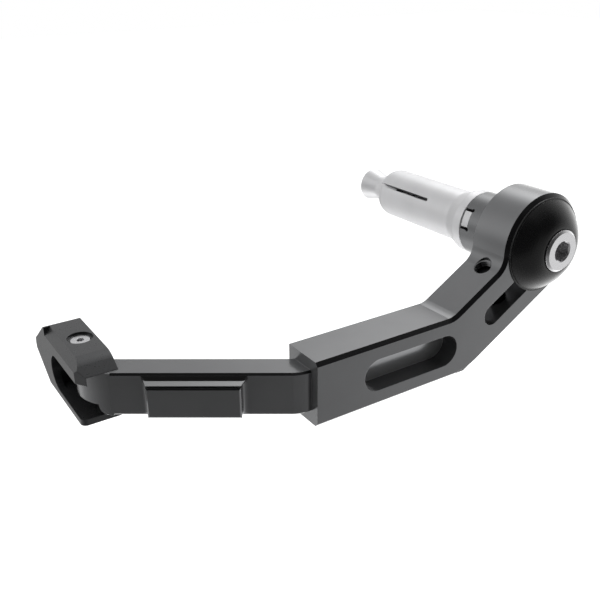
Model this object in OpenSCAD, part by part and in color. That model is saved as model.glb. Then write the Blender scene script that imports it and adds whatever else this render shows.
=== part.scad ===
// Brake lever guard: a machined clamp arm with a dog-leg and a swept blade, a hollow end tip, and a
// bar-end insert that expands inside a handlebar. Millimetres, +Z up.
// The handlebar axis is X, pointing out of the bar. The origin is on that axis where the insert's
// straight sleeve starts. The arm runs towards -Y.

/* [Arm] */
// distance from the origin to the arm's outer face
face_x = 35; // [32:0.5:40]
// arm width along the handlebar axis
arm_w = 14.2; // [12:0.1:18]
// hub outer radius
hub_r = 16.3; // [15:0.1:19]
// slope of the neck's top edge
neck_angle = 31; // [25:0.5:36]
// height of the neck's top edge over the hub centre, square to the neck
neck_top = 4.84; // [3:0.05:7]
// top of the straight lower arm
arm_top_z = -15.95; // [-20:0.05:-12]
// bottom of the straight lower arm
arm_bottom_z = -36.1; // [-42:0.1:-33]
// where the arm's bottom edge would meet the neck's bottom edge
elbow_y = -29.5; // [-33:0.1:-26]
// end face of the arm, where the blade starts
arm_end_y = -85.6; // [-95:0.1:-75]
// inner bend radius of the top edge
bend_top_r = 7.5; // [4:0.5:12]
// outer bend radius of the bottom edge
bend_bottom_r = 20; // [12:0.5:26]
// fillet between the neck and the hub
hub_fillet_r = 6; // [3:0.5:9]
// chamfer round the outer face
face_chamfer = 1.09; // [0.5:0.01:1.6]
// radius of the obround pocket in the outer face
pocket_r = 5.1; // [3:0.1:7]
// height of the pocket's centreline
pocket_z = -26; // [-28:0.1:-24]
// pocket end centre nearest the blade
pocket_far_y = -64.3; // [-70:0.1:-58]
// pocket end centre nearest the hub
pocket_near_y = -39.4; // [-44:0.1:-36]
// pocket depth
pocket_depth = 6.1; // [3:0.1:9]

/* [Clamp] */
// outer radius of the collar that the hub grips
collar_r = 10.82; // [9:0.01:12.5]
// radial clearance between hub and collar
clamp_gap = 0.02; // [0.01:0.01:0.06]
// width of the pinch slot
pinch_w = 7; // [4:0.1:9]
// distance of the slot's centreline below the hub centre
pinch_drop = 5.9; // [4:0.1:8]
// distance from the hub centre to the centre of the slot's round end
pinch_reach = 26.7; // [22:0.1:30]
// distance from the hub centre to the pinch screw
pinch_screw_u = 18.7; // [17:0.1:22]
// pinch screw thread radius
pinch_thread_r = 2.9; // [2.4:0.05:3]
// pinch screw head radius
pinch_head_r = 5; // [4:0.05:5.1]

/* [Blade] */
// blade thickness
blade_t = 8.4; // [6:0.1:10]
// step between the arm's outer face and the blade's outer face
blade_step = 3; // [1:0.1:5]
// top of the blade
blade_top_z = -19.33; // [-22:0.01:-18]
// bottom of the blade
blade_bottom_z = -32.46; // [-34:0.01:-28]
// sweep of the blade from the arm's direction
blade_sweep = 34; // [25:0.5:40]
// inner bend radius at the arm's end face
blade_bend_r = 1.6; // [1:0.1:5]
// length of the straight blade along its outer face
blade_len = 49; // [40:0.5:60]
// chamfer on the blade's outer long edges
blade_chamfer = 0.55; // [0.3:0.05:1]
// start of the raised pad along the blade
pad_start = 11.6; // [8:0.1:16]
// length of the raised pad at its foot
pad_len = 29; // [20:0.5:32]
// height of the pad over the blade
pad_rise = 3.4; // [1:0.1:4]
// radius of the cove at the pad's ends
pad_cove_r = 1.65; // [0.8:0.05:2.5]
// radius of the cove along the pad's top and bottom
ledge_cove_r = 0.5; // [0.3:0.05:1]
// chamfer round the pad's face
pad_chamfer = 0.45; // [0.2:0.05:0.8]

/* [Tip] */
// distance from the end of the straight blade back to the tip's front
tip_inset = 1.1; // [0.8:0.1:2]
// length of the tip along the handlebar axis
tip_len = 42.6; // [36:0.1:48]
// tip thickness
tip_t = 11.29; // [9:0.01:14]
// top of the tip
tip_top_z = -15.88; // [-17:0.01:-14]
// bottom of the tip
tip_bottom_z = -35.1; // [-37:0.05:-33]
// wall behind the tip's hollow
tip_wall = 1.6; // [1:0.1:2.5]
// floor under the tip's hollow
tip_floor = 1.9; // [1:0.1:3]
// radius of the round heel that ends the blade
heel_r = 13.2; // [10:0.1:15]
// height of the heel
heel_h = 10.07; // [7:0.01:11]
// tip screw head radius
tip_screw_head_r = 2.85; // [2.5:0.05:3.3]
// tip screw thread radius
tip_screw_r = 1.45; // [1.2:0.05:2]

/* [Bar end] */
// sleeve outer radius
sleeve_r = 8.75; // [7:0.05:11]
// sleeve bore radius
sleeve_bore_r = 4.6; // [4:0.1:5.5]
// length of the sleeve behind the origin
sleeve_len = 39.2; // [34:0.1:46]
// flange radius
flange_r = 10.7; // [9:0.1:12]
// width of each slit in the sleeve
slit_w = 1.2; // [0.8:0.1:2]
// number of slits
slit_count = 3; // [2:1:4]
// length of the collar outside the hub
collar_out = 11.9; // [8:0.1:16]
// width of the two key notches in the collar
key_w = 7; // [5:0.1:8]
// depth of the key notches
key_depth = 3.3; // [2:0.1:5]
// largest radius of the expander cone
cone_r = 6.05; // [5:0.05:7]
// bolt thread radius
bolt_r = 3; // [2.5:0.1:4]
// bolt head radius
bolt_head_r = 6.66; // [5.5:0.01:7]
// height of the bolt head
bolt_head_h = 4.2; // [3:0.1:5]
// width of the hexagon socket across its flats
socket_af = 5.8; // [4:0.1:6]
// width of the hub's face left round the dome
hub_face_w = 1.2; // [0.8:0.1:2]
// step between the dome's base ring and its domed face
dome_step = 0.5; // [0.2:0.1:1]
// rise of the dome
dome_h = 6.32; // [4:0.01:8]

/* [Hidden] */
$fn = 72;
over = 0.5;
eps = 0.05;
// arcs stand this much proud of the lines that they join, so that the solids cross cleanly
blend = 0.02;
screw_gap = 0.02;

// the arm's YZ profile, with u along the neck and v square to it
u_dir = [-cos(neck_angle), -sin(neck_angle)];
v_dir = [-sin(neck_angle), cos(neck_angle)];
arm_back_x = face_x - arm_w;
arm_mid_x = face_x - arm_w / 2;
elbow_top = [(arm_top_z - neck_top / cos(neck_angle)) / tan(neck_angle), arm_top_z];
elbow_bottom = [elbow_y, arm_bottom_z];
// the neck's bottom edge is the tangent from the bottom elbow to the hub
bottom_angle = atan2(-elbow_bottom[1], -elbow_bottom[0]) - asin((hub_r - blend) / norm(elbow_bottom));
bottom_dir = [cos(bottom_angle), sin(bottom_angle)];
hub_tangent = [hub_r * sin(bottom_angle), -hub_r * cos(bottom_angle)];
// the fillet between neck and hub touches both
fillet_v = neck_top + hub_fillet_r;
fillet_u = sqrt(pow(hub_r + hub_fillet_r, 2) - pow(fillet_v, 2));
fillet_c = u_dir * fillet_u + v_dir * fillet_v;
fillet_neck = u_dir * fillet_u + v_dir * neck_top;
fillet_hub = fillet_c * hub_r / (hub_r + hub_fillet_r);
// the two bends of the dog-leg
bend_top_t = bend_top_r * tan(neck_angle / 2);
bend_top_c = elbow_top + [-bend_top_t, bend_top_r];
bend_bottom_t = bend_bottom_r * tan(bottom_angle / 2);
bend_bottom_c = elbow_bottom + [-bend_bottom_t, bend_bottom_r];
bend_neck = elbow_bottom + bottom_dir * bend_bottom_t;
// the clamp
hub_bore_r = collar_r + clamp_gap;
slot_v = -pinch_drop;
pinch_seat_v = 4.3 - hub_r;
pinch_end_v = neck_top - 2.6;
pinch_head_h = 4;
pinch_socket_af = 4;
pinch_socket_depth = 2.2;
pinch_gap = 0.3;

// the blade, in plan
bend_c = [face_x - blade_step - blade_t - blade_bend_r, arm_end_y];
blade_n = [cos(blade_sweep), -sin(blade_sweep)];
blade_d = [-sin(blade_sweep), -cos(blade_sweep)];
blade_out = bend_c + blade_n * (blade_bend_r + blade_t);
blade_in = bend_c + blade_n * blade_bend_r;
blade_end = blade_out + blade_d * blade_len;
blade_h = blade_top_z - blade_bottom_z;
pad_top_z = blade_top_z - 2.15;
pad_bottom_z = blade_bottom_z + 0.6;

// the tip
heel_c = blade_end - blade_n * heel_r;
lip_t = 2.2;
lip_gap = 0.2;
// the tip's side wall stands just clear of the heel
tip_out_y = heel_c[1] - heel_r - lip_gap - lip_t;
tip_back_y = tip_out_y + tip_t;
tip_front_x = blade_end[0] - tip_inset;
tip_end_x = tip_front_x - tip_len;
tip_shoulder_x = tip_end_x + 11.8;
tip_mid_z = (tip_top_z + tip_bottom_z) / 2;
// the closed end slopes to a blunt nose
nose_top = [tip_end_x + 0.6, tip_mid_z + 1.5];
nose = [tip_end_x, tip_mid_z - 0.5];
nose_bottom = [tip_end_x + 0.1, tip_mid_z - 2.2];
nose_foot = [tip_shoulder_x - 1, tip_bottom_z];
// the bevel along the top and the cheek beside the front
bevel_y = 2.08;
bevel_z = 2.68;
cheek_x = 3.4;
cheek_y = 2.14;
// the brow is where the tip's top would meet its sloping front
brow_r = 9;
brow_angle = 33.6;
brow_t = brow_r * tan(brow_angle / 2);
brow = [tip_front_x - (tip_top_z - blade_top_z) / tan(brow_angle), tip_top_z];
floor_inset = 2.1;
floor_corner_r = 1.8;
cavity_end_x = tip_end_x + 15.8;
entry_x = tip_front_x - 8.8;
lip_z = tip_top_z - 6;
// the side window's round end spans from the lip to the floor
window_r = (lip_z - tip_bottom_z - tip_floor) / 2;
window_z = lip_z - window_r;
window_c_x = tip_end_x + 21.1;
// the heel is tangent to the blade's outer face and stops short of the tip's back wall
heel_seat = 0.4;
heel_back_y = tip_back_y - tip_wall - heel_seat;
heel_in = blade_in + blade_d * (blade_in[1] - heel_back_y) / cos(blade_sweep);
heel_z = blade_top_z - heel_h;
blade_foot_x = tip_front_x - 1.8;
foot_r = 2.7;
tab_r = 2.4;
tab_z = blade_top_z - 3;
tip_screw_x = tip_front_x - 17.8;
tip_screw_y = heel_back_y - tab_r;
tip_screw_top_z = tip_top_z - 0.7;
tip_screw_head_h = 1.4;
tip_screw_seat_z = tip_screw_top_z - tip_screw_head_h;
tip_screw_gap = 0.25;
counterbore_gap = 0.9;
tip_socket_af = 2;
tip_socket_depth = 1.1;

// the bar end
rim_x = arm_back_x - collar_out;
rim_w = 3.4;
rim_edge = 0.3;
spigot_r = 7.4;
spigot_len = 2.5;
// the sleeve and the dome each plug into one end of the collar
plug_r = spigot_r - 0.05;
plug_len = spigot_len - 0.1;
bolt_hole_r = bolt_r + 0.25;
nose_r = sleeve_r - sleeve_bore_r;
slit_angle = 30.7;
slit_end_x = -10.9;
bore_end_x = 3;
straight_end_x = 0.4;
key_angle = 21;
relief_r = 0.6;
lug_gap = 0.9;
lug_end_gap = 0.25;
lug_top_r = flange_r - 0.4;
cone_far_x = -sleeve_len - 12.2;
cone_edge = 0.4;
cone_neck_x = cone_far_x + 7.4;
cone_neck_r = sleeve_bore_r - 0.15;
cone_spigot_x = -sleeve_len + 7;
bolt_head_top_x = face_x + 7.4;
head_seat_x = bolt_head_top_x - bolt_head_h;
bolt_head_edge = 0.65;
socket_depth = 3;
socket_lead_h = 0.45;
socket_lead_w = 0.6;
head_hole_r = bolt_head_r + 0.2;
dome_base_r = hub_r - hub_face_w;
dome_r = dome_base_r - dome_step;
dome_ring_h = 0.35;
dome_rim_h = 0.64;
dome_power = 1.73;

module profile(points, x = arm_back_x, w = arm_w) {
    translate([x, 0, 0])
        rotate([90, 0, 90])
            linear_extrude(w)
                polygon(points);
}

module disc(c, r, x = arm_back_x, w = arm_w) {
    translate([x, c[0], c[1]])
        rotate([0, 90, 0])
            cylinder(h = w, r = r);
}

// places children in a frame with its first two axes along a and b
module framed(o, a, b) {
    c = cross(a, b);
    multmatrix([[a[0], b[0], c[0], o[0]], [a[1], b[1], c[1], o[1]], [a[2], b[2], c[2], o[2]], [0, 0, 0, 1]])
        children();
}

// revolves points of radius and place along the handlebar axis
module turned(points) {
    rotate([0, 90, 0])
        rotate_extrude()
            polygon([for (p = points) [p[0], p[1]]]);
}

// the sliver between a corner and the arc that rounds it
module corner(points, c, r, x = arm_back_x, w = arm_w) {
    difference() {
        profile(points, x, w);
        disc(c, r + blend, x - 1, w + 2);
    }
}

// triangular section that cuts a chamfer of size c off the edge at its origin
module chamfer_section(c) {
    polygon([[-c - over, over], [over, -c - over], [over, over]]);
}

// cuts the outer face's edge from p to q, with the arm on the left
module straight_chamfer(p, q) {
    run = (q - p) / norm(q - p);
    framed([face_x, p[0], p[1]], [1, 0, 0], [0, run[1], -run[0]])
        linear_extrude(norm(q - p))
            chamfer_section(face_chamfer);
}

// cuts the outer face's edge along a convex arc, between two directions from its centre
module convex_chamfer(c, r, from, mid, to) {
    intersection() {
        difference() {
            disc(c, r + 1, face_x - face_chamfer, face_chamfer + over);
            translate([face_x - face_chamfer, c[0], c[1]])
                rotate([0, 90, 0])
                    cylinder(h = face_chamfer + over, r1 = r, r2 = r - face_chamfer - over);
        }
        profile([c, c + from * 2 * r, c + mid * 4 * r, c + to * 2 * r],
                face_x - 2 * face_chamfer, 3 * face_chamfer);
    }
}

// cuts the outer face's edge along a concave arc
module concave_chamfer(c, r) {
    translate([face_x - face_chamfer, c[0], c[1]])
        rotate([0, 90, 0])
            cylinder(h = face_chamfer + over, r1 = r, r2 = r + face_chamfer + over);
}

module arm_outline() {
    difference() {
        union() {
            disc([0, 0], hub_r);
            profile([[0, 0], v_dir * neck_top, elbow_top, [arm_end_y, arm_top_z],
                     [arm_end_y, arm_bottom_z], elbow_bottom, hub_tangent]);
            corner([[0, 0], fillet_hub, fillet_c, fillet_neck], fillet_c, hub_fillet_r);
            corner([elbow_top - [bend_top_t, 4], elbow_top - [bend_top_t, 0], bend_top_c,
                    elbow_top - u_dir * bend_top_t, elbow_top - u_dir * bend_top_t - [0, 4]],
                   bend_top_c, bend_top_r);
        }
        corner([elbow_bottom - [bend_bottom_t, over], bend_bottom_c, bend_neck, bend_neck + [over, -over]],
               bend_bottom_c, bend_bottom_r, arm_back_x - over, arm_w + 2 * over);
    }
}

module face_chamfers() {
    straight_chamfer([arm_end_y - over, arm_bottom_z], elbow_bottom - [bend_bottom_t - over, 0]);
    convex_chamfer(bend_bottom_c, bend_bottom_r + blend, [0, -1],
                   [sin(bottom_angle / 2), -cos(bottom_angle / 2)], hub_tangent / hub_r);
    straight_chamfer(bend_neck - bottom_dir * over, hub_tangent + bottom_dir * over);
    difference() {
        convex_ring();
        profile([[0, 0], fillet_hub * 2, u_dir * 5 * hub_r, hub_tangent * 2],
                face_x - 2 * face_chamfer, 4 * face_chamfer);
    }
    concave_chamfer(fillet_c, hub_fillet_r);
    straight_chamfer(fillet_neck, elbow_top - u_dir * bend_top_t);
    concave_chamfer(bend_top_c, bend_top_r);
    straight_chamfer(elbow_top - [bend_top_t, 0], [arm_end_y - over, arm_top_z]);
}

module convex_ring() {
    difference() {
        disc([0, 0], hub_r + 1, face_x - face_chamfer, face_chamfer + over);
        translate([face_x - face_chamfer, 0, 0])
            rotate([0, 90, 0])
                cylinder(h = face_chamfer + over, r1 = hub_r, r2 = hub_r - face_chamfer - over);
    }
}

module pinch_slot() {
    lo = slot_v - pinch_w / 2;
    hi = slot_v + pinch_w / 2;
    profile([u_dir * 4 + v_dir * lo, u_dir * 4 + v_dir * hi, u_dir * pinch_reach + v_dir * hi,
             u_dir * pinch_reach + v_dir * lo], arm_back_x - 1, arm_w + 2);
    disc(u_dir * pinch_reach + v_dir * slot_v, pinch_w / 2, arm_back_x - 1, arm_w + 2);
}

// places children at the pinch screw, with Z square to the neck
module at_pinch_screw(v) {
    framed([arm_mid_x, u_dir[0] * pinch_screw_u, u_dir[1] * pinch_screw_u],
           [1, 0, 0], [0, -u_dir[0], -u_dir[1]])
        translate([0, 0, v])
            children();
}

module pinch_holes() {
    at_pinch_screw(slot_v)
        cylinder(h = 20, r = pinch_thread_r + screw_gap);
    at_pinch_screw(pinch_seat_v - 1)
        cylinder(h = slot_v - pinch_seat_v + 1, r = pinch_thread_r + pinch_gap);
    at_pinch_screw(pinch_seat_v - 2 * pinch_head_h)
        cylinder(h = 2 * pinch_head_h, r = pinch_head_r + pinch_gap);
}

module pocket() {
    profile([[pocket_far_y, pocket_z - pocket_r], [pocket_near_y, pocket_z - pocket_r],
             [pocket_near_y, pocket_z + pocket_r], [pocket_far_y, pocket_z + pocket_r]],
            face_x - pocket_depth, pocket_depth + 1);
    disc([pocket_far_y, pocket_z], pocket_r, face_x - pocket_depth, pocket_depth + 1);
    disc([pocket_near_y, pocket_z], pocket_r, face_x - pocket_depth, pocket_depth + 1);
}

module blade_edge_chamfer(z, up) {
    edge = [blade_out[0], blade_out[1], z];
    flip = up ? 1 : -1;
    start = up ? -over : blade_len;
    framed(edge + [blade_d[0], blade_d[1], 0] * start, [blade_n[0], blade_n[1], 0], [0, 0, flip])
        linear_extrude(blade_len + over)
            chamfer_section(blade_chamfer);
    translate([bend_c[0], bend_c[1], z])
        rotate([0, 0, -blade_sweep])
            rotate_extrude(angle = blade_sweep)
                translate([blade_bend_r + blade_t, 0])
                    scale([1, flip])
                        chamfer_section(blade_chamfer);
}

// the sliver between a corner and the arc that rounds it, over the blade's height, in plan
module blade_corner(points, c, r, margin = 0) {
    difference() {
        translate([0, 0, blade_bottom_z - margin])
            linear_extrude(blade_h + 2 * margin)
                polygon(points);
        translate([c[0], c[1], blade_bottom_z - margin - 1])
            cylinder(h = blade_h + 2 * margin + 2, r = r + blend);
    }
}

// the full blade with its round heel, before the tip's clearances are cut
module blade_plan() {
    miter = tan(blade_sweep / 2);
    out_miter = bend_c + [1, -miter] * (blade_bend_r + blade_t);
    in_miter = bend_c + [1, -miter] * blade_bend_r;
    heel_bottom = heel_c[1] - heel_r;
    heel_left = heel_c[0] - heel_r;
    heel_corner = blade_end + blade_d * (blade_end[1] - heel_bottom) / cos(blade_sweep);
    difference() {
        translate([0, 0, blade_bottom_z])
            linear_extrude(blade_h)
                polygon([[out_miter[0], arm_end_y + over], out_miter, heel_corner, [heel_left, heel_bottom],
                         [heel_left, heel_back_y], heel_in, in_miter, [in_miter[0], arm_end_y + over]]);
        blade_corner([bend_c, [out_miter[0], arm_end_y], out_miter + [over, -over], blade_out],
                     bend_c, blade_bend_r + blade_t, 1);
        blade_corner([heel_c, blade_end, heel_corner + [over, -over], [heel_left - 1, heel_bottom - 1],
                      [heel_left - 1, heel_back_y + 1]], heel_c, heel_r, 1);
    }
    blade_corner([bend_c, [in_miter[0], arm_end_y], in_miter, blade_in], bend_c, blade_bend_r);
}

// what is cut away below the heel, inside the tip, with a rounded foot at the end of the lower blade
module heel_clearance() {
    depth = 40;
    translate([0, tip_back_y + heel_seat, 0])
        rotate([90, 0, 0])
            linear_extrude(depth)
                polygon([[blade_foot_x, heel_z], [blade_foot_x - depth, heel_z],
                         [blade_foot_x - depth, blade_bottom_z - 1], [blade_foot_x, blade_bottom_z - 1]]);
    difference() {
        translate([blade_foot_x - over, tip_back_y + heel_seat - depth, blade_bottom_z - over])
            cube([foot_r + over, depth, foot_r + over]);
        translate([blade_foot_x + foot_r, tip_back_y + heel_seat + 1, blade_bottom_z + foot_r])
            rotate([90, 0, 0])
                cylinder(h = depth + 2, r = foot_r);
    }
}

// a rectangle that stands up from the blade's face between two feet, with a cove at each foot and its edges
// chamfered; the first axis leads out of the face
module coved_section(low, high, r) {
    difference() {
        polygon([[-over, low + blend], [0, low + blend], [r, low + r], [pad_rise - pad_chamfer, low + r],
                 [pad_rise, low + r + pad_chamfer], [pad_rise, high - r - pad_chamfer],
                 [pad_rise - pad_chamfer, high - r], [r, high - r], [0, high - blend],
                 [-over, high - blend]]);
        for (foot = [low, high])
            translate([r, foot])
                circle(r = r);
    }
}

// the plain raised pad: one section along the blade crossed with one over its height
module pad() {
    foot = [blade_out[0], blade_out[1], 0] + [blade_d[0], blade_d[1], 0] * pad_start;
    out = [blade_n[0], blade_n[1], 0];
    intersection() {
        framed(foot, out, [0, 0, 1])
            linear_extrude(pad_len)
                coved_section(pad_bottom_z, pad_top_z, ledge_cove_r);
        framed(foot + [0, 0, pad_top_z], out, [blade_d[0], blade_d[1], 0])
            linear_extrude(pad_top_z - pad_bottom_z)
                coved_section(0, pad_len, pad_cove_r);
    }
}

module tip_tab() {
    translate([tip_screw_x - tab_r, tip_screw_y - tab_r + heel_seat, tab_z])
        cube([heel_c[0] - tip_screw_x, 2 * tab_r, blade_top_z - tab_z]);
}

module guard_arm() {
    color([0.27, 0.28, 0.29]) {
        difference() {
            union() {
                difference() {
                    arm_outline();
                    face_chamfers();
                }
                difference() {
                    blade_plan();
                    heel_clearance();
                    blade_edge_chamfer(blade_top_z, true);
                    blade_edge_chamfer(blade_bottom_z, false);
                }
                pad();
                tip_tab();
            }
            disc([0, 0], hub_bore_r, arm_back_x - 1, arm_w + 2);
            pinch_slot();
            pinch_holes();
            pocket();
            translate([tip_screw_x, tip_screw_y, tab_z - 1])
                cylinder(h = 10, r = tip_screw_r + screw_gap);
        }
    }
}

// a box between two corners
module block(a, b) {
    translate(a)
        cube(b - a);
}

module tip_profile(points, y, t) {
    translate([0, y, 0])
        rotate([90, 0, 0])
            linear_extrude(t)
                polygon(points);
}

// rounds the tip's brow, between its top and its sloping front
module brow_rounding() {
    turn = [cos(brow_angle), -sin(brow_angle)];
    difference() {
        tip_profile([brow - [brow_t, 0], brow + [over, over], brow + turn * brow_t, brow - [brow_t, brow_r]],
                    tip_back_y + 1, tip_t + 2);
        translate([brow[0] - brow_t, tip_back_y + 2, brow[1] - brow_r])
            rotate([90, 0, 0])
                cylinder(h = tip_t + 4, r = brow_r + blend);
    }
}

// sets the floor's front edge back and rounds its outer corner
module floor_front() {
    edge_x = tip_front_x - floor_inset;
    block([edge_x, tip_out_y - 1, tip_bottom_z - 1],
          [tip_front_x + 1, tip_back_y + 1, tip_bottom_z + tip_floor + eps]);
    difference() {
        block([edge_x - floor_corner_r, tip_out_y - 1, tip_bottom_z - 1],
              [edge_x + 1, tip_out_y + floor_corner_r, tip_bottom_z + tip_floor + eps]);
        translate([edge_x - floor_corner_r, tip_out_y + floor_corner_r, tip_bottom_z - 2])
            cylinder(h = tip_floor + 4, r = floor_corner_r + blend);
    }
}

module end_tip() {
    color([0.33, 0.34, 0.35]) {
        difference() {
            tip_profile([[tip_front_x, tip_bottom_z], [tip_front_x, blade_top_z], brow,
                         [tip_shoulder_x, tip_top_z], nose_top, nose, nose_bottom, nose_foot],
                        tip_back_y, tip_t);
            brow_rounding();
            floor_front();
            block([cavity_end_x, tip_out_y + lip_t, tip_bottom_z + tip_floor],
                  [tip_front_x + 1, tip_back_y - tip_wall, blade_top_z]);
            block([window_c_x, tip_out_y - 1, tip_bottom_z + tip_floor],
                  [tip_front_x + 1, tip_out_y + lip_t + 1, lip_z]);
            translate([window_c_x, tip_out_y + lip_t + 1, window_z])
                rotate([90, 0, 0])
                    cylinder(h = lip_t + 3, r = window_r);
            block([entry_x, tip_back_y - tip_wall - 1, tip_bottom_z + tip_floor],
                  [tip_front_x + 1, tip_back_y + 1, blade_top_z]);
            profile([[tip_out_y - 1, tip_top_z + 1],
                     [tip_out_y + bevel_y * (1 + 1 / bevel_z), tip_top_z + 1],
                     [tip_out_y, tip_top_z - bevel_z], [tip_out_y - 1, tip_top_z - bevel_z]],
                    tip_shoulder_x + 0.6, tip_len);
            translate([0, 0, tip_bottom_z + tip_floor])
                linear_extrude(tip_top_z - tip_bottom_z)
                    polygon([[tip_front_x - cheek_x, tip_out_y],
                             [tip_front_x + 1, tip_out_y + cheek_y * (1 + 1 / cheek_x)],
                             [tip_front_x + 1, tip_out_y - 1], [tip_front_x - cheek_x, tip_out_y - 1]]);
            translate([tip_screw_x, tip_screw_y, 0]) {
                translate([0, 0, tip_screw_top_z])
                    cylinder(h = 5, r = tip_screw_head_r + counterbore_gap);
                translate([0, 0, tip_screw_seat_z])
                    cylinder(h = tip_screw_head_h, r1 = tip_screw_head_r - tip_screw_head_h + tip_screw_gap,
                             r2 = tip_screw_head_r + tip_screw_gap);
                translate([0, 0, blade_top_z - 1])
                    cylinder(h = 6, r = tip_screw_r + tip_screw_gap);
            }
        }
    }
}

module tip_screw() {
    color([0.75, 0.75, 0.76]) {
        translate([tip_screw_x, tip_screw_y, 0]) {
            difference() {
                union() {
                    translate([0, 0, tab_z])
                        cylinder(h = tip_screw_top_z - tab_z, r = tip_screw_r);
                    translate([0, 0, tip_screw_seat_z])
                        cylinder(h = tip_screw_head_h, r1 = tip_screw_head_r - tip_screw_head_h,
                                 r2 = tip_screw_head_r);
                }
                translate([0, 0, tip_screw_top_z - tip_socket_depth])
                    cylinder(h = 2, r = tip_socket_af / sqrt(3), $fn = 6);
            }
        }
    }
}

// the domed face, from its rim in to the bolt head
function dome_curve(n) = [for (i = [0:n])
    let (part = 1 - i / n)
    [head_hole_r + (dome_r - head_hole_r) * part,
     face_x + dome_rim_h + (dome_h - dome_rim_h) * (1 - pow(part, dome_power))]];

module bar_end_dome() {
    color([0.12, 0.12, 0.13]) {
        turned(concat([[bolt_hole_r, face_x - plug_len], [plug_r, face_x - plug_len], [plug_r, face_x],
                       [dome_base_r, face_x], [dome_base_r, face_x + dome_ring_h],
                       [dome_r, face_x + dome_ring_h]],
                      dome_curve(12),
                      [[head_hole_r, head_seat_x], [bolt_hole_r, head_seat_x]]));
    }
}

module dome_bolt() {
    color([0.78, 0.78, 0.79]) {
        difference() {
            turned([[0, cone_far_x], [bolt_r, cone_far_x], [bolt_r, head_seat_x], [bolt_head_r, head_seat_x],
                    [bolt_head_r, bolt_head_top_x - bolt_head_edge],
                    [bolt_head_r - bolt_head_edge, bolt_head_top_x], [0, bolt_head_top_x]]);
            translate([bolt_head_top_x - socket_depth, 0, 0])
                rotate([0, 90, 0])
                    cylinder(h = socket_depth + 1, r = socket_af / sqrt(3), $fn = 6);
            translate([bolt_head_top_x - socket_lead_h, 0, 0])
                rotate([0, 90, 0])
                    cylinder(h = socket_lead_h, r1 = socket_af / 2, r2 = socket_af / 2 + socket_lead_w);
        }
    }
}

// repeats children at the two keys, with Z pointing out from the axis
module at_keys() {
    for (turn = [0, 180])
        rotate([90 - key_angle + turn, 0, 0])
            children();
}

module clamp_collar() {
    color([0.2, 0.21, 0.22]) {
        difference() {
            turned([[bolt_hole_r, rim_x + spigot_len], [spigot_r, rim_x + spigot_len], [spigot_r, rim_x],
                    [collar_r - rim_edge, rim_x], [collar_r, rim_x + rim_edge], [collar_r, face_x],
                    [spigot_r, face_x], [spigot_r, face_x - spigot_len],
                    [bolt_hole_r, face_x - spigot_len]]);
            at_keys() {
                block([rim_x - 1, -key_w / 2, spigot_r - 1], [rim_x + key_depth, key_w / 2, collar_r + 1]);
                for (side = [-1, 1])
                    translate([rim_x + key_depth, side * (key_w / 2 - relief_r / 2), spigot_r - 1])
                        cylinder(h = collar_r - spigot_r + 2, r = relief_r, $fn = 24);
            }
        }
    }
}

module expander_sleeve() {
    color([0.8, 0.8, 0.81]) {
        difference() {
            union() {
                turned(concat([[sleeve_bore_r, -sleeve_len]],
                              [for (a = [15:15:90]) [sleeve_bore_r + nose_r * sin(a),
                                                     nose_r - sleeve_len - nose_r * cos(a)]],
                              [[sleeve_r, straight_end_x], [flange_r, rim_x - rim_w],
                                [flange_r, rim_x - rim_edge],
                               [flange_r - rim_edge, rim_x], [plug_r, rim_x], [plug_r, rim_x + plug_len],
                               [bolt_hole_r, rim_x + plug_len], [bolt_hole_r, bore_end_x + 1],
                               [sleeve_bore_r, bore_end_x]]));
                at_keys()
                    intersection() {
                        block([rim_x - over, -key_w / 2 + lug_gap, plug_r - 1],
                              [rim_x + key_depth - lug_end_gap, key_w / 2 - lug_gap, flange_r]);
                        translate([rim_x - 1, 0, 0])
                            rotate([0, 90, 0])
                                cylinder(h = key_depth + 2, r = lug_top_r);
                    }
            }
            for (i = [0:slit_count - 1])
                rotate([90 - slit_angle - i * 360 / slit_count, 0, 0]) {
                    block([-sleeve_len - 1, -slit_w / 2, sleeve_bore_r / 2],
                          [slit_end_x - slit_w / 2, slit_w / 2, sleeve_r + 1]);
                    translate([slit_end_x - slit_w / 2, 0, sleeve_bore_r / 2])
                        cylinder(h = sleeve_r, r = slit_w / 2, $fn = 24);
                }
        }
    }
}

module expander_cone() {
    color([0.8, 0.8, 0.81]) {
        turned([[bolt_r + screw_gap, cone_far_x], [cone_r - cone_edge, cone_far_x],
                [cone_r, cone_far_x + cone_edge], [cone_neck_r, cone_neck_x], [cone_neck_r, cone_spigot_x],
                [bolt_r + screw_gap, cone_spigot_x]]);
    }
}

module pinch_screw() {
    color([0.25, 0.25, 0.26]) {
        difference() {
            union() {
                at_pinch_screw(pinch_seat_v)
                    cylinder(h = pinch_end_v - pinch_seat_v, r = pinch_thread_r);
                at_pinch_screw(pinch_seat_v - pinch_head_h)
                    cylinder(h = pinch_head_h, r = pinch_head_r);
            }
            at_pinch_screw(pinch_seat_v - pinch_head_h - 1)
                cylinder(h = pinch_socket_depth + 1, r = pinch_socket_af / sqrt(3), $fn = 6);
        }
    }
}

guard_arm();
end_tip();
tip_screw();
bar_end_dome();
dome_bolt();
clamp_collar();
expander_sleeve();
expander_cone();
pinch_screw();
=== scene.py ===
# %% [markdown]
# # Brake lever guard
# A lever guard is a metal arm at the end of a handlebar, which keeps the brake lever from being
# knocked. The imported model has its nine solid pieces in their places. This script gives them
# their looks: a camera fitted to the photograph, a white studio, a procedural metal for every
# piece, and three small pieces: threads that the solids leave out, a bright cut along the blade's
# plate whose colour is partly painted highlight, and a near-black bar of painted shade behind it.
# The arm's metal also carries painted shade on its cut corners and painted light on the floor of
# its pocket. Blender measures in metres, so a number in millimetres is multiplied by `MM`.

# %% Load the model
import math

import bpy
import numpy as np
from mathutils import Matrix, Vector


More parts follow.
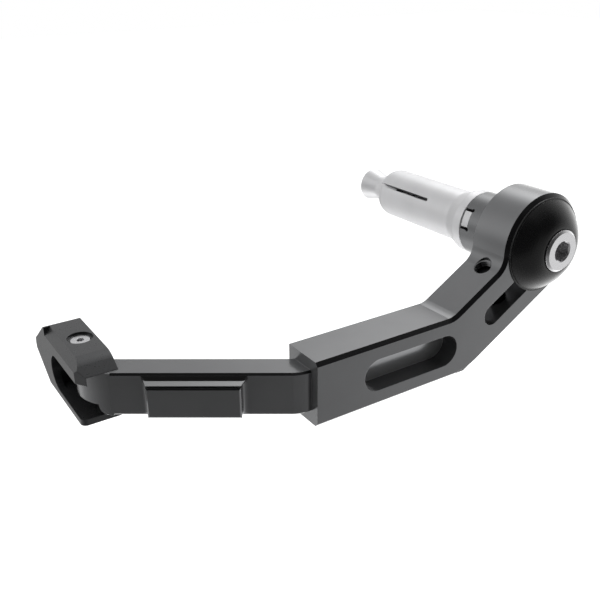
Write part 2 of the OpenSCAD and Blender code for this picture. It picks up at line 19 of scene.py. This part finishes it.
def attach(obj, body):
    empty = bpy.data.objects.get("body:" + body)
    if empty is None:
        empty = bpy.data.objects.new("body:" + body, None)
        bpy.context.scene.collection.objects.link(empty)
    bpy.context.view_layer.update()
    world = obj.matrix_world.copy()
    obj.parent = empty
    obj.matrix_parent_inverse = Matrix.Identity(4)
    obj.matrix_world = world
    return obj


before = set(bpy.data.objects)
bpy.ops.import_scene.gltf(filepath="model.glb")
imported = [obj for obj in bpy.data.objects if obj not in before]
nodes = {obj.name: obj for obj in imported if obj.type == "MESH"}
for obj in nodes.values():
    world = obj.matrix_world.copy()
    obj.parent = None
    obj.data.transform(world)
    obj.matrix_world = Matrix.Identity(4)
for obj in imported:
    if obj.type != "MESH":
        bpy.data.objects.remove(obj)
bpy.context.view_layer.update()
MM = 0.001
print("nodes:", ", ".join(sorted(nodes)))

# %% [markdown]
# ## Camera
# The photograph looks at the outer end of the handlebar from above and in front of the arm. The
# camera's place, its angles and its focal length were fitted to the corners of the hub, the arm
# and the blade. The turn could be typed in as a matrix, but three angles are easier to read and
# to change, so the matrix is worked out.

# %% Axes of the camera
CAMERA_AT = Vector((182.74, -186.78, 83.25)) * MM
CAMERA_YAW = math.radians(32.956)
CAMERA_PITCH = math.radians(24.193)
CAMERA_ROLL = math.radians(-0.565)


def camera_turn():
    """The view runs along -X, turned by the yaw towards +Y and tipped down by the pitch.

    Roll by r turns both: right * cos(r) + up * sin(r) is the new right, and
    up * cos(r) - right * sin(r) is the new up.
    """
    sin_yaw, cos_yaw = math.sin(CAMERA_YAW), math.cos(CAMERA_YAW)
    level = Vector((-cos_yaw, sin_yaw, 0))
    forward = level * math.cos(CAMERA_PITCH) - Vector((0, 0, math.sin(CAMERA_PITCH)))
    up = level * math.sin(CAMERA_PITCH) + Vector((0, 0, math.cos(CAMERA_PITCH)))
    right = Vector((sin_yaw, cos_yaw, 0))
    rolled_right = right * math.cos(CAMERA_ROLL) + up * math.sin(CAMERA_ROLL)
    rolled_up = up * math.cos(CAMERA_ROLL) - right * math.sin(CAMERA_ROLL)
    return Matrix((rolled_right, rolled_up, -forward)).transposed()


print("camera looks along:", [round(-part, 3) for part in camera_turn().col[2]])

# %% [markdown]
# A focal length in pixels becomes one in millimetres once the sensor has a width: the lens is to
# the sensor as the focal pixels are to the picture's width.

# %% Camera
FOCAL_PIXELS = 766.7
IMAGE_PIXELS = 600
SENSOR_MM = 36
NEAREST_SEEN = 10 * MM


def make_camera():
    """Lens = focal length in pixels / width of the picture in pixels * width of the sensor."""
    data = bpy.data.cameras.new("photo_camera")
    data.sensor_width = SENSOR_MM
    data.lens = FOCAL_PIXELS / IMAGE_PIXELS * data.sensor_width
    data.clip_start = NEAREST_SEEN
    camera = bpy.data.objects.new("photo_camera", data)
    camera.matrix_world = Matrix.Translation(CAMERA_AT) @ camera_turn().to_4x4()
    bpy.context.scene.collection.objects.link(camera)
    bpy.context.scene.camera = camera
    print("lens in mm:", round(data.lens, 1))


make_camera()
bpy.context.scene.view_settings.view_transform = "Standard"

# %% [markdown]
# ## Studio
# The guard is shown against pure white. A white sky of strength 1 gives that above the horizon,
# and lights the floor evenly. A white picture behind the guard would do for one view only, and
# the sky does for all of them.

# %% White sky
world = bpy.data.worlds.new("white_sky")
world.use_nodes = True
world.node_tree.nodes["Background"].inputs["Color"].default_value = (1, 1, 1, 1)
bpy.context.scene.world = world
print("sky:", world.name)

# %% [markdown]
# Shader nodes are needed from here on, dozens of them, and three lines for each would hide what
# they do. So three short helpers place them: any node, a Math node, and a Mix node for colours.

# %% Helpers for nodes
def put(tree, kind, inputs=None, **settings):
    """Adds a node. Inputs are plain values, or sockets of other nodes, which are linked."""
    node = tree.nodes.new(kind)
    for name, value in settings.items():
        setattr(node, name, value)
    for name, value in (inputs or {}).items():
        if isinstance(value, bpy.types.NodeSocket):
            tree.links.new(value, node.inputs[name])
        else:
            node.inputs[name].default_value = value
    return node


def reckon(tree, operation, *values):
    """A Math node on one to three values or sockets. Gives its output socket."""
    return put(tree, "ShaderNodeMath", dict(enumerate(values)), operation=operation).outputs[0]


def mix_colours(tree, share, low, high):
    """A colour from low at share 0 to high at share 1. Sockets 6 and 7 are a Mix node's colours."""
    return put(tree, "ShaderNodeMix", {0: share, 6: low, 7: high}, data_type="RGBA").outputs[2]


print("helpers:", put.__name__, reckon.__name__, mix_colours.__name__)

# %% [markdown]
# The floor is a wide matt square, a metre below the guard, where the guard throws no hard shadow.
# A matt floor under a white sky renders a little below white. The Light Path node tells which
# rays come from the camera, from metal or from glass, and for those the floor glows slightly and
# reads as white. The guard gets no more light from that, because the tent that comes next stands
# in between.

# %% Pale floor
FLOOR_Z = -1000 * MM
FLOOR_REACH = 12
FLOOR_GREY = 0.9
FLOOR_GLOW = 0.5


def make_floor():
    """A square, 2 * FLOOR_REACH wide. Its glow is FLOOR_GLOW for rays that see it, else 0."""
    mesh = bpy.data.meshes.new("floor")
    around = ((-1, -1), (1, -1), (1, 1), (-1, 1))
    corners = [(FLOOR_REACH * x, FLOOR_REACH * y, FLOOR_Z) for x, y in around]
    mesh.from_pydata(corners, [], [(0, 1, 2, 3)])
    material = bpy.data.materials.new("pale_floor")
    material.use_nodes = True
    tree = material.node_tree
    shader = tree.nodes["Principled BSDF"]
    shader.inputs["Base Color"].default_value = (FLOOR_GREY, FLOOR_GREY, FLOOR_GREY, 1)
    shader.inputs["Roughness"].default_value = 1
    shader.inputs["Specular IOR Level"].default_value = 0
    shader.inputs["Emission Color"].default_value = (1, 1, 1, 1)
    rays = put(tree, "ShaderNodeLightPath").outputs
    seen = rays["Is Camera Ray"]
    for ray in ("Is Glossy Ray", "Is Transmission Ray"):
        seen = reckon(tree, "MAXIMUM", seen, rays[ray])
    tree.links.new(reckon(tree, "MULTIPLY", seen, FLOOR_GLOW), shader.inputs["Emission Strength"])
    mesh.materials.append(material)
    floor = bpy.data.objects.new("floor", mesh)
    bpy.context.scene.collection.objects.link(floor)


make_floor()
print("floor is %.0f m wide" % (2 * FLOOR_REACH))

# %% [markdown]
# ## Light tent
# Metal shows what stands round it more than a colour of its own. In an open white room the guard
# would look flat, and bare lamps would leave hard spots on it. Photographers hang metal in a
# tent, a ball of white cloth lit from outside, and this one does the same. The cloth is a little
# dimmer towards the floor. Each soft box behind it is a broad patch of light, and each black card
# in front of it is a broad patch of shade, which keeps the faces on the camera's side dark. The
# patches are few and named by where they hang, in degrees.

# %% Glow of the cloth
CLOTH_TOP = 1.47
CLOTH_SPREAD = math.radians(170)
CLOTH_DROP = 0.53
CLOTH_DARKEST = 0.05
# Each patch: degrees round from +X towards +Y, degrees up, spread in degrees, and strength.
SOFT_BOXES = (
    (124, 47, 17, 4.0),
    (103, -33, 43, 2.1),
    (-130, -65, 24, 3.4),
    (-144, -18, 13, 0.7),
    (-122, 38, 16, 0.7),
    (-138, 12, 15, 0.7),
    (-107, 24, 12, 0.6),
)
BLACK_CARDS = (
    (-54, 23, 30, -2.9),
    (29, 35, 33, -0.9),
    (-171, -29, 11, -0.4),
    (70, 78, 14, -0.25),
)


def cloth_glow(ways):
    """Light from each direction, for an array of unit directions.

    The cloth gives top * exp(-(angle from straight up / spread)^2) - drop. A patch adds strength *
    exp(-(t / spread)^2) at angle t from its middle, and a card's strength is negative.
    """
    down = np.arccos(np.clip(ways[:, 2], -1, 1))
    glow = CLOTH_TOP * np.exp(-(down / CLOTH_SPREAD) ** 2) - CLOTH_DROP
    for turn, rise, spread, strength in SOFT_BOXES + BLACK_CARDS:
        turn, rise = math.radians(turn), math.radians(rise)
        middle = (math.cos(rise) * math.cos(turn), math.cos(rise) * math.sin(turn), math.sin(rise))
        apart = np.degrees(np.arccos(np.clip(ways @ middle, -1, 1)))
        glow += strength * np.exp(-(apart / spread) ** 2)
    return np.maximum(glow, CLOTH_DARKEST)


print("glow straight up: %.2f" % cloth_glow(np.array([[0, 0, 1]]))[0])

# %% [markdown]
# The cloth's glow is kept on the points of the ball as an attribute, and the material only reads
# it. Blender would send extra rays at every glowing face of the ball to light the scene, which is
# slow for so large a lamp, so that is turned off, and rays find it by themselves. The camera
# looks through the cloth.

# %% Tent
TENT_AT = Vector((15, -70, 0)) * MM
TENT_R = 950 * MM


def tent_cloth():
    """An emission that reads its strength from the attribute called glow."""
    material = bpy.data.materials.new("tent_cloth")
    material.use_nodes = True
    tree = material.node_tree
    tree.nodes.clear()
    glow = put(tree, "ShaderNodeAttribute", attribute_name="glow").outputs["Fac"]
    light = put(tree, "ShaderNodeEmission", {"Strength": glow})
    put(tree, "ShaderNodeOutputMaterial", {"Surface": light.outputs[0]})
    material.cycles.emission_sampling = "NONE"
    return material


def make_tent(turns=120, rises=60):
    """A ball: place = TENT_AT + TENT_R * (cos(rise) cos(turn), cos(rise) sin(turn), sin(rise))."""
    turn, rise = np.meshgrid(
        np.linspace(0, 2 * np.pi, turns, endpoint=False), np.linspace(-np.pi / 2, np.pi / 2, rises))
    level = np.cos(rise)
    ways = np.stack([level * np.cos(turn), level * np.sin(turn), np.sin(rise)], axis=-1).reshape(-1, 3)
    here = np.arange(turns * (rises - 1)).reshape(rises - 1, turns)
    beside = np.roll(here, -1, axis=1)
    faces = np.stack([here, here + turns, beside + turns, beside], axis=-1).reshape(-1, 4)
    mesh = bpy.data.meshes.new("light_tent")
    mesh.from_pydata((np.array(TENT_AT) + TENT_R * ways).tolist(), [], faces.tolist())
    glow = cloth_glow(ways)
    kept = mesh.attributes.new("glow", "FLOAT", "POINT")
    kept.data.foreach_set("value", glow.astype(np.float32))
    mesh.materials.append(tent_cloth())
    tent = bpy.data.objects.new("light_tent", mesh)
    tent.visible_camera = False
    bpy.context.scene.collection.objects.link(tent)
    mean = np.average(glow, weights=level.ravel())
    print("tent glow: mean %.2f, brightest %.2f" % (mean, glow.max()))


make_tent()

# %% [markdown]
# ## Grain
# Real machined metal is never one flat value. Blasting and anodising leave a fine grain, and
# faint clouds where the dye took better. Several metals show it, each at its own scale, so it is
# built once as a node group. The group puts out plain values, and each material decides what to
# do with them.

# %% Grain
FLOAT = "NodeSocketFloat"
CLOUD_SIZE = 60


def new_group(name, inputs, outputs):
    """An empty shader group with sockets given as name, type and default."""
    group = bpy.data.node_groups.new(name, "ShaderNodeTree")
    for label, kind, value in inputs:
        group.interface.new_socket(label, in_out="INPUT", socket_type=kind).default_value = value
    for label, kind in outputs:
        group.interface.new_socket(label, in_out="OUTPUT", socket_type=kind)
    return group, put(group, "NodeGroupInput"), put(group, "NodeGroupOutput")


def make_grain():
    """Grain is noise at Scale per metre. Cloud is noise that is CLOUD_SIZE times larger."""
    outputs = [("Grain", FLOAT), ("Cloud", FLOAT)]
    group, given, result = new_group("metal_grain", [("Scale", FLOAT, 4000)], outputs)
    place = put(group, "ShaderNodeTexCoord").outputs["Object"]
    scale = given.outputs["Scale"]
    grain = put(group, "ShaderNodeTexNoise", {"Vector": place, "Scale": scale, "Detail": 3})
    wide = reckon(group, "DIVIDE", scale, CLOUD_SIZE)
    cloud = put(group, "ShaderNodeTexNoise", {"Vector": place, "Scale": wide, "Detail": 2})
    group.links.new(grain.outputs["Fac"], result.inputs["Grain"])
    group.links.new(cloud.outputs["Fac"], result.inputs["Cloud"])
    return group


GRAIN = make_grain()
print("group:", GRAIN.name)

# %% [markdown]
# ## Lathe marks
# The dome, the collar, the sleeve, the cone and the bolt are turned on a lathe, which leaves fine
# rings round the axis. That axis is the handlebar's, the X axis here. A ring texture node could
# draw them, but its rings are all alike. Noise that reads only the place along X and the distance
# from it gives uneven rings, as a tool does.

# %% Lathe marks
BAND_SIZE = 8


def make_lathe_marks():
    """Rings are noise read at (x, distance from the X axis). Bands are BAND_SIZE times wider."""
    outputs = [("Rings", FLOAT), ("Bands", FLOAT)]
    group, given, result = new_group("lathe_marks", [("Scale", FLOAT, 2500)], outputs)
    place = put(group, "ShaderNodeTexCoord").outputs["Object"]
    across = put(group, "ShaderNodeVectorMath", {0: place, 1: (0, 1, 1)}, operation="MULTIPLY")
    out = put(group, "ShaderNodeVectorMath", {0: across.outputs[0]}, operation="LENGTH")
    along = put(group, "ShaderNodeSeparateXYZ", {0: place}).outputs["X"]
    spot = put(group, "ShaderNodeCombineXYZ", {"X": along, "Y": out.outputs["Value"]}).outputs[0]
    fine = given.outputs["Scale"]
    for label, scale in (("Rings", fine), ("Bands", reckon(group, "DIVIDE", fine, BAND_SIZE))):
        noise = put(group, "ShaderNodeTexNoise", {"Vector": spot, "Scale": scale, "Detail": 2})
        group.links.new(noise.outputs["Fac"], result.inputs[label])
    return group


LATHE = make_lathe_marks()
print("group:", LATHE.name)

# %% [markdown]
# ## Worn edges
# Handling rounds the sharp edges and rubs the colour off them. The edges could be rounded in the
# mesh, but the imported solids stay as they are. The Bevel node works while rendering: it gives the
# normal that a rounded edge would have, and where that leaves the true normal there is an edge.
# Noise breaks the wear up.

# %% Worn edges
EDGE_STARTS, EDGE_FULL = 0.995, 0.9
RUB_FROM, RUB_TO = 0.42, 0.62


def make_edge_wear():
    """Edge = how far the rounded normal leaves the true one, from 0 to 1, times the rub.

    The rub is noise at Break per metre, stretched so that it is 0 or 1 over most of the surface.
    """
    inputs = [("Radius", FLOAT, 0.2 * MM), ("Break", FLOAT, 900)]
    outputs = [("Edge", FLOAT), ("Normal", "NodeSocketVector")]
    group, given, result = new_group("edge_wear", inputs, outputs)
    rounded = put(group, "ShaderNodeBevel", {"Radius": given.outputs["Radius"]}, samples=4)
    rounded = rounded.outputs["Normal"]
    true = put(group, "ShaderNodeNewGeometry").outputs["Normal"]
    same = put(group, "ShaderNodeVectorMath", {0: rounded, 1: true}, operation="DOT_PRODUCT")
    corner = put(group, "ShaderNodeMapRange",
                 {"Value": same.outputs["Value"], "From Min": EDGE_STARTS, "From Max": EDGE_FULL})
    place = put(group, "ShaderNodeTexCoord").outputs["Object"]
    spots = put(group, "ShaderNodeTexNoise",
                {"Vector": place, "Scale": given.outputs["Break"], "Detail": 4})
    rub = put(group, "ShaderNodeMapRange",
              {"Value": spots.outputs["Fac"], "From Min": RUB_FROM, "From Max": RUB_TO})
    edge = reckon(group, "MULTIPLY", corner.outputs[0], rub.outputs[0])
    group.links.new(edge, result.inputs["Edge"])
    group.links.new(rounded, result.inputs["Normal"])
    return group


EDGES = make_edge_wear()
print("group:", EDGES.name)

# %% [markdown]
# ## Recipe for the metals
# All finishes here are metal that was cut, then blasted, dyed, oiled or left bright. They differ
# in numbers more than in kind, so one recipe makes them all. The clouds and bands vary the colour
# by a tenth either way, the grain varies the roughness, and grain and rings press into the
# surface by hundredths of a millimetre.

# %% The recipe
COLOUR_SHARES = (0.9, 1.1)
ROUGH_SHARES = (0.8, 1.2)
GRAIN_RANGE = (0.3, 0.7)
GRAIN_DEEP = 0.03 * MM
RING_DEEP = 0.05 * MM


def surface(name, colour, worn, roughness, metallic=1, ior=1.5, grain=4000, bump=0.1,
            rings=0, ring_bump=0, wear=0.3):
    """Colour = colour * (0.9 to 1.1, by clouds and bands), and the worn colour along edges.

    Roughness = roughness * (0.8 to 1.2, by grain). Grain and rings are also pressed in as bumps.
    """
    material = bpy.data.materials.new(name)
    material.use_nodes = True
    tree = material.node_tree
    shader = tree.nodes["Principled BSDF"]
    shader.inputs["Metallic"].default_value = metallic
    shader.inputs["IOR"].default_value = ior
    speckle = put(tree, "ShaderNodeGroup", node_tree=GRAIN)
    speckle.inputs["Scale"].default_value = grain
    edges = put(tree, "ShaderNodeGroup", node_tree=EDGES)
    tone, height = speckle.outputs["Cloud"], speckle.outputs["Grain"]
    if rings:
        lathe = put(tree, "ShaderNodeGroup", node_tree=LATHE)
        lathe.inputs["Scale"].default_value = rings
        tone = reckon(tree, "POWER", reckon(tree, "MULTIPLY", tone, lathe.outputs["Bands"]), 0.5)
    dark, light = [(*(part * share for part in colour), 1) for share in COLOUR_SHARES]
    rubbed = reckon(tree, "MULTIPLY", edges.outputs["Edge"], wear)
    mixed = mix_colours(tree, rubbed, mix_colours(tree, tone, dark, light), (*worn, 1))
    tree.links.new(mixed, shader.inputs["Base Color"])
    rough = put(tree, "ShaderNodeMapRange", {
        "Value": height, "From Min": GRAIN_RANGE[0], "From Max": GRAIN_RANGE[1],
        "To Min": roughness * ROUGH_SHARES[0], "To Max": roughness * ROUGH_SHARES[1]})
    tree.links.new(rough.outputs[0], shader.inputs["Roughness"])
    relief = put(tree, "ShaderNodeBump", {
        "Height": height, "Strength": bump, "Distance": GRAIN_DEEP,
        "Normal": edges.outputs["Normal"]})
    if rings:
        relief = put(tree, "ShaderNodeBump", {
            "Height": lathe.outputs["Rings"], "Strength": ring_bump, "Distance": RING_DEEP,
            "Normal": relief.outputs[0]})
    tree.links.new(relief.outputs[0], shader.inputs["Normal"])
    print(name, "roughness", roughness)
    return material


def recolour(material, mask, colour):
    """Lays a colour over the material's own where the mask is 1."""
    tree = material.node_tree
    base = tree.nodes["Principled BSDF"].inputs["Base Color"]
    tree.links.new(mix_colours(tree, mask, base.links[0].from_socket, (*colour, 1)), base)


print("colour varies from %.1f to %.1f, roughness from %.1f to %.1f" % (*COLOUR_SHARES, *ROUGH_SHARES))


# %% [markdown]
# ## Graphite arm
# The arm is aluminium, machined and then anodised a dark graphite with a satin sheen. The dye
# lies in a clear oxide on the metal, so the arm shines partly as metal and partly as paint, and
# Metallic stands halfway.

# %% Graphite arm
RUBBED_GREY = (0.45, 0.45, 0.46)
ARM = surface("graphite_satin", (0.165, 0.167, 0.171), RUBBED_GREY, 0.18, metallic=0.55,
              bump=0.08, wear=0.1)

# %% [markdown]
# The cut corners along the arm are nearly black in the photograph. That dark is what they mirror,
# and here it is put into their colour as painted shade. They could be painted by place, but
# the arm bends and the corners follow it. Their slope finds them: they stand at about 45 degrees,
# and next to no other face does. On the hub, the neck and the arm they slope between X and the
# side, and on the blade between Z and the side. The True Normal is that of the flat face, without
# bump or rounding.

# %% Painted shade on the cut corners
BLADE_FROM_Y = -86 * MM
CORNER_SLOPE = 0.7
CORNER_NEAR = 0.1
CORNER_PAINTED_SHADE = (0.022, 0.022, 0.023)


def paint_corner_shade(material):
    """The mask of painted shade is 1 where |normal x| is within CORNER_NEAR of CORNER_SLOPE.

    On the blade it takes |normal z| instead.
    """
    tree = material.node_tree
    normal = put(tree, "ShaderNodeNewGeometry").outputs["True Normal"]
    size = put(tree, "ShaderNodeVectorMath", {0: normal}, operation="ABSOLUTE").outputs[0]
    part = put(tree, "ShaderNodeSeparateXYZ", {0: size}).outputs
    place = put(tree, "ShaderNodeTexCoord").outputs["Object"]
    along = put(tree, "ShaderNodeSeparateXYZ", {0: place}).outputs["Y"]
    on_blade = reckon(tree, "LESS_THAN", along, BLADE_FROM_Y)
    slope = put(tree, "ShaderNodeMix", {0: on_blade, 2: part["X"], 3: part["Z"]}).outputs[0]
    # Painted shade: the cut corners get a near-black colour for the dark that they mirror.
    recolour(material, reckon(tree, "COMPARE", slope, CORNER_SLOPE, CORNER_NEAR), CORNER_PAINTED_SHADE)


paint_corner_shade(ARM)
print("dark corners on", ARM.name)

# %% [markdown]
# The floor of the arm's long pocket reads as light as the outer face in the photograph. Down
# there it mirrors the pocket's dark walls, so in the same colour it would come out darker. A
# lighter colour makes up for that: painted light on the floor. It is the only face square to X
# at its depth, so its place along X and its normal find it.

# %% Painted light on the floor of the pocket
POCKET_FLOOR_X = 28.9 * MM
POCKET_FLOOR_NEAR = 0.1 * MM
SQUARE_TO_X = 0.99
POCKET_FLOOR_PAINTED_LIGHT = (0.50, 0.505, 0.515)


def paint_pocket_light(material):
    """The mask of painted light is 1 where x is that of the floor and the normal's x is above
    SQUARE_TO_X.
    """
    tree = material.node_tree
    normal = put(tree, "ShaderNodeNewGeometry").outputs["True Normal"]
    across = put(tree, "ShaderNodeSeparateXYZ", {0: normal}).outputs["X"]
    place = put(tree, "ShaderNodeTexCoord").outputs["Object"]
    depth = put(tree, "ShaderNodeSeparateXYZ", {0: place}).outputs["X"]
    level = reckon(tree, "COMPARE", depth, POCKET_FLOOR_X, POCKET_FLOOR_NEAR)
    flat = reckon(tree, "GREATER_THAN", across, SQUARE_TO_X)
    # Painted light: the pocket's floor gets a colour much lighter than the arm's.
    recolour(material, reckon(tree, "MULTIPLY", level, flat), POCKET_FLOOR_PAINTED_LIGHT)


paint_pocket_light(ARM)
print("light pocket floor on", ARM.name)

# %% [markdown]
# ## Tip, collar and dome
# The tip is blasted before it is dyed, so it is duller than the arm and shows its grain. The
# collar comes off the lathe and is dyed the same graphite, with rings. The dome is black: its dye
# is so deep that no metal shows through, so it is made as a dark surface under a gloss, with
# Metallic at 0.

# %% Tip, collar and dome
TIP = surface("graphite_blasted", (0.050, 0.051, 0.053), (0.40, 0.40, 0.41), 0.32,
              metallic=0.45, grain=2600, bump=0.3, wear=0.2)
COLLAR = surface("graphite_turned", (0.138, 0.140, 0.143), RUBBED_GREY, 0.16, metallic=0.9,
                 rings=2500, ring_bump=0.1)
BLACK = surface("black_dome", (0.006, 0.006, 0.0065), (0.2, 0.2, 0.2), 0.28, metallic=0, ior=1.45,
                rings=3000, ring_bump=0.03)

# %% [markdown]
# ## Insert and screws
# The sleeve and the cone are aluminium left bright, with clear turning rings and a soft, even
# sheen. The bolt and the tip's screw are turned steel, sharper and a little darker. The clamp's
# screw is steel with a black oxide, which is thin and grainy.

# %% Insert and screws
RUBBED_BRIGHT = (0.8, 0.8, 0.8)
BRIGHT = surface("bright_insert", (0.63, 0.63, 0.64), RUBBED_BRIGHT, 0.40, metallic=0.55,
                 rings=1600, ring_bump=0.3)
STEEL = surface("turned_steel", (0.56, 0.56, 0.57), RUBBED_BRIGHT, 0.28, rings=2600, ring_bump=0.25)
OXIDE = surface("black_oxide", (0.040, 0.040, 0.042), (0.3, 0.3, 0.3), 0.35, grain=3000, bump=0.3)

# %% [markdown]
# ## Dressing the solids
# A solid from the model already has the right shape and place. It only swaps its plain material
# for a finish, and its mesh is left alone.

# %% Dress the solids
FINISHES = {
    "guard_arm": ARM,
    "end_tip": TIP,
    "clamp_collar": COLLAR,
    "bar_end_dome": BLACK,
    "expander_sleeve": BRIGHT,
    "expander_cone": BRIGHT,
    "dome_bolt": STEEL,
    "tip_screw": STEEL,
    "pinch_screw": OXIDE,
}
for node, finish in FINISHES.items():
    nodes[node].data.materials.clear()
    nodes[node].data.materials.append(finish)
print("dressed:", len(FINISHES), "of", len(nodes), "solids")

# %% [markdown]
# ## Small pieces
# Three pieces are too fine for the solids: two details, and a near-black bar of painted shade.
# Each is a closed surface on a grid. One function turns such a grid of points into a piece. Where
# the rows also close on themselves, the piece is a ring. Otherwise the first and the last row
# become flat ends.

# %% A grid becomes a piece
def grid_piece(name, points, material, ends=False):
    """Points have the shape (rows, columns, 3), in mm. Four neighbours make a face.

    The columns go round. The rows do too, unless the first and the last of them are ends.
    """
    rows, columns = points.shape[:2]
    here = np.arange(rows * columns).reshape(rows, columns)
    beside, above = np.roll(here, -1, axis=1), np.roll(here, -1, axis=0)
    over = np.roll(beside, -1, axis=0)
    last = rows - 1 if ends else rows
    faces = np.stack([here, beside, over, above], axis=-1)[:last].reshape(-1, 4).tolist()
    if ends:
        faces += [here[0, ::-1].tolist(), here[-1].tolist()]
    mesh = bpy.data.meshes.new(name)
    mesh.from_pydata((points.reshape(-1, 3) * MM).tolist(), [], faces)
    mesh.materials.append(material)
    piece = bpy.data.objects.new(name, mesh)
    bpy.context.scene.collection.objects.link(piece)
    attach(piece, "root")
    print(name, "faces:", len(faces))


# %% [markdown]
# ## Threads in the neck
# The clamp's screw goes into a threaded hole in the neck, and above its end the threads show. A
# bump map would stay flat at the hole's mouth, where the threads are seen from the side, so they
# are real ridges. A thread is a helix: going once round moves it up by one pitch. The ridges are
# a lining of the hole, closed at its back.

# %% Threads above the clamp screw
NECK_TURN = math.radians(31)
NECK_TOP = 4.84
HOLE_ALONG_X = 27.9
HOLE_DOWN_NECK = 18.7
HOLE_AT = np.array((
    HOLE_ALONG_X, -HOLE_DOWN_NECK * math.cos(NECK_TURN), -HOLE_DOWN_NECK * math.sin(NECK_TURN)))
HOLE_UP = np.array((0, -math.sin(NECK_TURN), math.cos(NECK_TURN)))
HOLE_SIDE = np.array((0, math.cos(NECK_TURN), math.sin(NECK_TURN)))
HOLE_R = 2.91
THREAD_ROOT_R = 2.86
THREAD_PITCH = 1
THREAD_DEPTH = 0.55
THREAD_LONG = 2.5
THREAD_FADE = 0.2
BELOW_MOUTH = 0.04


def threads(columns=96, rows=80):
    """Radius = root - depth * |2 * frac(height / pitch - turn) - 1|, a ridge that climbs.

    The depth fades to nothing at the mouth. Two more rows go back down along the wall of the hole.
    """
    turn, height = np.meshgrid(np.arange(columns) / columns, np.linspace(0, THREAD_LONG, rows))
    wave = np.abs(2 * np.mod(height / THREAD_PITCH - turn, 1) - 1)
    fade = np.clip((THREAD_LONG - height) / THREAD_FADE, 0, 1)
    radius = THREAD_ROOT_R - THREAD_DEPTH * wave * fade
    turn = np.concatenate([turn, turn[:2]])
    height = np.concatenate([height, height[-1:], height[:1]])
    radius = np.concatenate([radius, np.full((2, columns), HOLE_R)])
    angle = 2 * np.pi * turn[..., None]
    wall = (np.array((1, 0, 0)) * np.cos(angle) + HOLE_SIDE * np.sin(angle)) * radius[..., None]
    return HOLE_AT + wall + HOLE_UP * (NECK_TOP - THREAD_LONG - BELOW_MOUTH + height)[..., None]


grid_piece("pinch_threads", threads()[:, ::-1], ARM)

# %% [markdown]
# ## Cut and painted shade along the plate
# A plain raised plate stands on the front of the blade. Along its top runs a bright cut that
# slopes towards the front and catches the light from above. Its colour, lighter than the arm's,
# is partly the bright metal of a cut and partly painted highlight. Behind it a near-black bar
# slopes up to the blade: painted shade, standing where the back wall of the cut lies in shadow.
# Each is a bar whose section is carried along the plate. The plate meets the blade in a hollow
# curve at both ends, and the bars stop along that curve.

# %% Cut and painted shade along the blade's plate
BLADE_TURN = math.radians(34)
PLATE_OUT = np.array((math.cos(BLADE_TURN), -math.sin(BLADE_TURN), 0))
PLATE_ALONG = np.array((-math.sin(BLADE_TURN), -math.cos(BLADE_TURN), 0))
UP = np.array((0, 0, 1))
BEND_AT = np.array((22, -85.6, 0))
BLADE_FACE = 10
PLATE_FROM_BEND = 11.6
PLATE_TOP = -21.48
PLATE_AT = BEND_AT + BLADE_FACE * PLATE_OUT + PLATE_FROM_BEND * PLATE_ALONG + PLATE_TOP * UP
PLATE_LONG = 29
PLATE_COVE = 1.65
END_GAP = 0.02
# Corners of each bar's section: distance from the blade, and height above the plate's top.
BRIGHT_CUT = ((0.04, -0.03), (0.04, 0.68), (2.9, 0.02), (2.9, -0.03))
SHADE_BAR_SECTION = ((0, 0.4), (0, 1.62), (0.05, 1.62), (0.9, 0.55), (0.9, 0.4))


def plate_bar(section, stations=60):
    """Carries a section along the plate, from one end's hollow curve to the other's.

    At distance d from the blade, a bar's end stands sqrt(r^2 - (r - d)^2) in from the plate's end,
    for a curve of radius r. From d = r on it stands r in.
    """
    out, rise = np.array(section).T
    end = np.sqrt(PLATE_COVE ** 2 - np.clip(PLATE_COVE - out, 0, None) ** 2) + END_GAP
    part = np.linspace(0, 1, stations)[:, None]
    along = end + part * (PLATE_LONG - 2 * end)
    return PLATE_AT + out[:, None] * PLATE_OUT + along[..., None] * PLATE_ALONG + rise[:, None] * UP


# The bright cut's colour is lighter than the arm's: partly the bright metal of a cut, partly painted
# highlight.
CUT_AND_HIGHLIGHT = surface("bright_cut_painted_highlight", (0.24, 0.242, 0.246), RUBBED_GREY, 0.2, metallic=0.7,
              bump=0.08, wear=0.1)
# Painted shade: a near-black bar that stands where the back wall of the cut lies in shadow.
SHADE = surface("painted_shade_bar", (0.012, 0.012, 0.012), (0.1, 0.1, 0.1), 0.5, metallic=0.5,
                bump=0.08, wear=0)
grid_piece("plate_ledge", plate_bar(BRIGHT_CUT)[:, ::-1], CUT_AND_HIGHLIGHT, ends=True)
grid_piece("plate_painted_shade", plate_bar(SHADE_BAR_SECTION)[:, ::-1], SHADE, ends=True)
